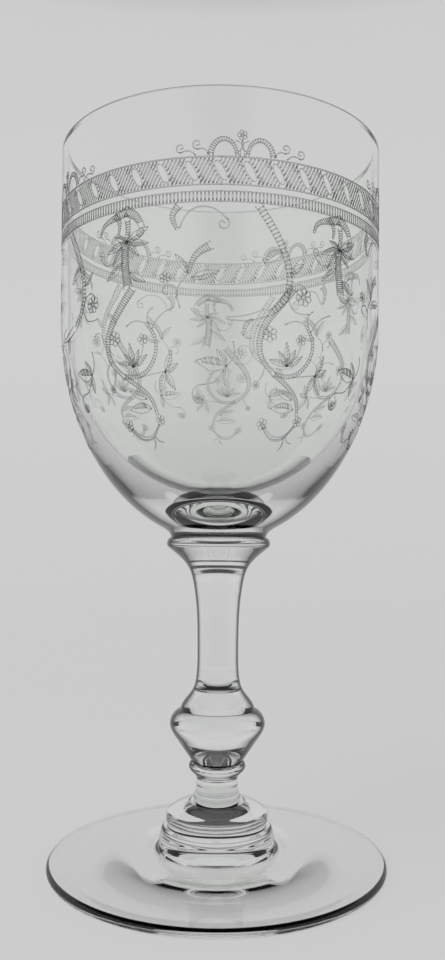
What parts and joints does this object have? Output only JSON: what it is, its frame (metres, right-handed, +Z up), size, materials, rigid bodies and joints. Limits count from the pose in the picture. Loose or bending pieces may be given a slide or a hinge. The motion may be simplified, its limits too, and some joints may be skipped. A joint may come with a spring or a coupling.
{
  "type": "wine glass",
  "caption": "Stemmed wine glass with a deep round-bottomed bowl, collar, waisted stem, baluster knop and a domed disc foot, with an etched scrollwork bowl.",
  "frame": {"origin": "middle of the circle that the foot rests on, in the plane of the table", "axes": "+Z up along the axis of the glass, from foot to rim; the glass is a body of revolution, so X and Y are any two level directions at right angles"},
  "size_m": [0.075, 0.075, 0.16],
  "materials": {
    "crystal": "fire-polished clear crystal",
    "etching": "acid-etched frosted line work on the outside of the bowl"
  },
  "bodies": {
    "root": {"bowl": "crystal", "merese": "crystal", "stem_shaft": "crystal", "baluster_knop": "crystal", "lower_bead": "crystal", "foot_button": "crystal", "foot": "crystal"}
  },
  "joints": []
}
